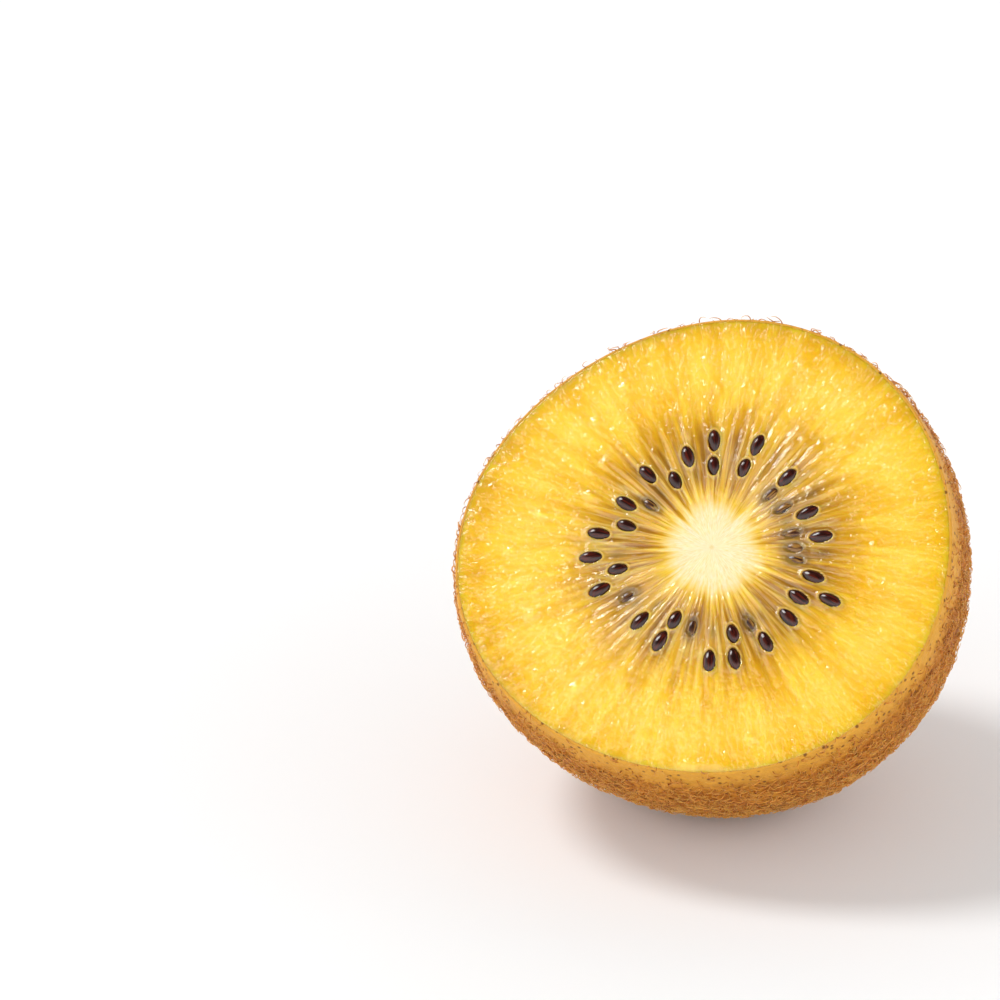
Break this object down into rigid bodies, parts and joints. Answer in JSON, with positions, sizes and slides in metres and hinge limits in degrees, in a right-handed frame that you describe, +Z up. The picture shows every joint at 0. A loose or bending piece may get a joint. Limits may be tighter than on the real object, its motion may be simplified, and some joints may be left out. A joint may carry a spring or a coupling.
{
  "type": "golden kiwi fruit half",
  "caption": "Half of a golden kiwi fruit, cut across its core, with fuzzy brown skin, wet yellow flesh, a pale core and rings of dark seeds, resting on its rounded side.",
  "frame": {"origin": "the small flat spot that the half rests on, straight below its centre of mass", "axes": "+Z up; the cut face looks up and towards -Y, leaning 45 degrees; +X is across the cut face, to the right when looking along +Y"},
  "size_m": [0.0516, 0.0484, 0.0485],
  "materials": {
    "skin": "dry, thin golden-brown skin, lightly furred with short stiff hairs",
    "flesh": "wet, translucent yellow fruit flesh with fine rays",
    "core": "moist, pale cream, finely grained",
    "seed": "smooth, glossy, very dark red-brown"
  },
  "bodies": {
    "root": {"skin": "skin", "flesh": "flesh", "core": "core", "seed_outer_01": "seed", "seed_outer_02": "seed", "seed_outer_03": "seed", "seed_outer_04": "seed", "seed_outer_05": "seed", "seed_outer_06": "seed", "seed_outer_07": "seed", "seed_outer_08": "seed", "seed_outer_09": "seed", "seed_outer_10": "seed", "seed_outer_11": "seed", "seed_outer_12": "seed", "seed_outer_13": "seed", "seed_outer_14": "seed", "seed_outer_15": "seed", "seed_outer_16": "seed", "seed_outer_17": "seed", "seed_outer_18": "seed", "seed_outer_19": "seed", "seed_outer_20": "seed", "seed_inner_01": "seed", "seed_inner_02": "seed", "seed_inner_03": "seed", "seed_inner_04": "seed", "seed_inner_05": "seed", "seed_inner_06": "seed", "seed_inner_07": "seed", "seed_sunk_01": "seed", "seed_sunk_02": "seed", "seed_sunk_03": "seed", "seed_sunk_04": "seed", "seed_sunk_05": "seed", "seed_sunk_06": "seed", "seed_sunk_07": "seed", "seed_sunk_08": "seed", "seed_sunk_09": "seed"}
  },
  "joints": []
}
